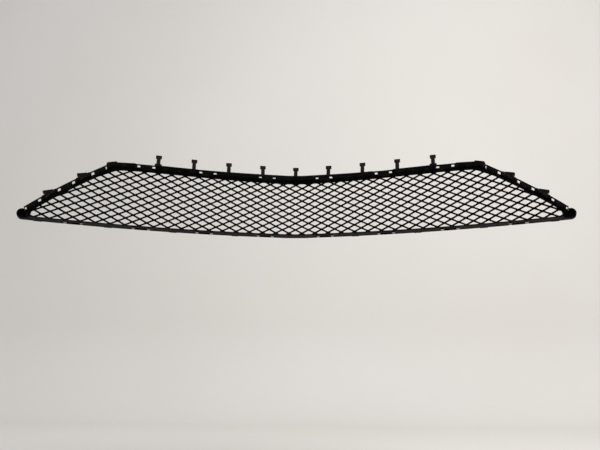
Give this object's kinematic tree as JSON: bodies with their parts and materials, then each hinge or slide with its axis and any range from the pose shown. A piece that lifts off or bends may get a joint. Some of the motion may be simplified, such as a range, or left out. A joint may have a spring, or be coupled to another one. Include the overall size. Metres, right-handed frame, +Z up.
{
  "type": "lower bumper grille",
  "caption": "Wide, shallow lower bumper grille: a curved black surround with slanted ends, a diamond mesh insert and flexing clip tabs.",
  "frame": {"origin": "centre of the footprint, at the level of the underside of the lower rail", "axes": "+X across the car, +Y to the road side, +Z up; the curve is concave towards -Y"},
  "size_m": [1.1308, 0.1711, 0.1715],
  "materials": {
    "frame": "satin moulded black plastic with a fine grain",
    "mesh": "satin moulded black plastic, slightly smoother than the surround",
    "clip": "plain moulded black plastic with a soft shine"
  },
  "bodies": {
    "surround": {"upper_rail": "frame", "lower_rail": "frame", "side_rail_left": "frame", "side_rail_right": "frame", "corner_block_left": "frame", "corner_block_right": "frame", "end_cap_left": "frame", "end_cap_right": "frame", "mesh_insert": "mesh", "latch_top_1": "mesh", "latch_top_2": "mesh", "latch_top_3": "mesh", "latch_top_4": "mesh", "latch_top_5": "mesh", "latch_top_6": "mesh", "latch_bottom_1": "mesh", "latch_bottom_2": "mesh", "latch_bottom_3": "mesh", "latch_bottom_4": "mesh", "latch_bottom_5": "mesh", "latch_bottom_6": "mesh", "latch_bottom_7": "mesh", "latch_bottom_8": "mesh", "latch_left_1": "mesh", "latch_left_2": "mesh", "latch_left_3": "mesh", "latch_right_1": "mesh", "latch_right_2": "mesh", "latch_right_3": "mesh", "tab_base_left": "frame", "tab_base_right": "frame"},
    "clip_tab_1": {"clip_tab_1": "clip"},
    "clip_tab_2": {"clip_tab_2": "clip"},
    "clip_tab_3": {"clip_tab_3": "clip"},
    "clip_tab_4": {"clip_tab_4": "clip"},
    "clip_tab_5": {"clip_tab_5": "clip"},
    "clip_tab_6": {"clip_tab_6": "clip"},
    "clip_tab_7": {"clip_tab_7": "clip"},
    "clip_tab_8": {"clip_tab_8": "clip"},
    "clip_tab_9": {"clip_tab_9": "clip"},
    "catch_left_upper": {"catch_left_upper": "clip"},
    "catch_left_lower": {"catch_left_lower": "clip"},
    "catch_right_upper": {"catch_right_upper": "clip"},
    "catch_right_lower": {"catch_right_lower": "clip"}
  },
  "joints": [
    {"name": "clip_tab_1_flex", "type": "hinge", "parent": "surround", "child": "clip_tab_1", "pos_m": [-0.30408, 0.00207, 0.14908], "axis": [0.9631, 0.269, 0], "range_deg": [-3, 6], "stiffness_Nm_per_rad": 2},
    {"name": "clip_tab_2_flex", "type": "hinge", "parent": "surround", "child": "clip_tab_2", "pos_m": [-0.22839, 0.0216, 0.14377], "axis": [0.973, 0.2307, 0], "range_deg": [-3, 6], "stiffness_Nm_per_rad": 2},
    {"name": "clip_tab_3_flex", "type": "hinge", "parent": "surround", "child": "clip_tab_3", "pos_m": [-0.152, 0.03814, 0.1422], "axis": [0.9814, 0.1921, 0], "range_deg": [-3, 6], "stiffness_Nm_per_rad": 2},
    {"name": "clip_tab_4_flex", "type": "hinge", "parent": "surround", "child": "clip_tab_4", "pos_m": [-0.07501, 0.05164, 0.14071], "axis": [0.9882, 0.1532, 0], "range_deg": [-3, 6], "stiffness_Nm_per_rad": 2},
    {"name": "clip_tab_5_flex", "type": "hinge", "parent": "surround", "child": "clip_tab_5", "pos_m": [0, 0.06202, 0.1401], "axis": [1, 0, 0], "range_deg": [-3, 6], "stiffness_Nm_per_rad": 2},
    {"name": "clip_tab_6_flex", "type": "hinge", "parent": "surround", "child": "clip_tab_6", "pos_m": [0.07501, 0.05164, 0.14071], "axis": [0.9882, -0.1532, 0], "range_deg": [-3, 6], "stiffness_Nm_per_rad": 2},
    {"name": "clip_tab_7_flex", "type": "hinge", "parent": "surround", "child": "clip_tab_7", "pos_m": [0.152, 0.03814, 0.1422], "axis": [0.9814, -0.1921, 0], "range_deg": [-3, 6], "stiffness_Nm_per_rad": 2},
    {"name": "clip_tab_8_flex", "type": "hinge", "parent": "surround", "child": "clip_tab_8", "pos_m": [0.22839, 0.0216, 0.14377], "axis": [0.973, -0.2307, 0], "range_deg": [-3, 6], "stiffness_Nm_per_rad": 2},
    {"name": "clip_tab_9_flex", "type": "hinge", "parent": "surround", "child": "clip_tab_9", "pos_m": [0.30408, 0.00207, 0.14908], "axis": [0.9631, -0.269, 0], "range_deg": [-3, 6], "stiffness_Nm_per_rad": 2},
    {"name": "catch_left_upper_flex", "type": "hinge", "parent": "surround", "child": "catch_left_upper", "pos_m": [-0.45083, -0.03185, 0.10161], "axis": [0.7692, 0.2793, 0.5747], "range_deg": [0, 8], "stiffness_Nm_per_rad": 2},
    {"name": "catch_left_lower_flex", "type": "hinge", "parent": "surround", "child": "catch_left_lower", "pos_m": [-0.50721, -0.05327, 0.05582], "axis": [0.721, 0.2868, 0.6308], "range_deg": [0, 8], "stiffness_Nm_per_rad": 2},
    {"name": "catch_right_upper_flex", "type": "hinge", "parent": "surround", "child": "catch_right_upper", "pos_m": [0.45083, -0.03185, 0.10161], "axis": [0.7692, -0.2793, -0.5747], "range_deg": [0, 8], "stiffness_Nm_per_rad": 2},
    {"name": "catch_right_lower_flex", "type": "hinge", "parent": "surround", "child": "catch_right_lower", "pos_m": [0.50721, -0.05327, 0.05582], "axis": [0.721, -0.2868, -0.6308], "range_deg": [0, 8], "stiffness_Nm_per_rad": 2}
  ]
}
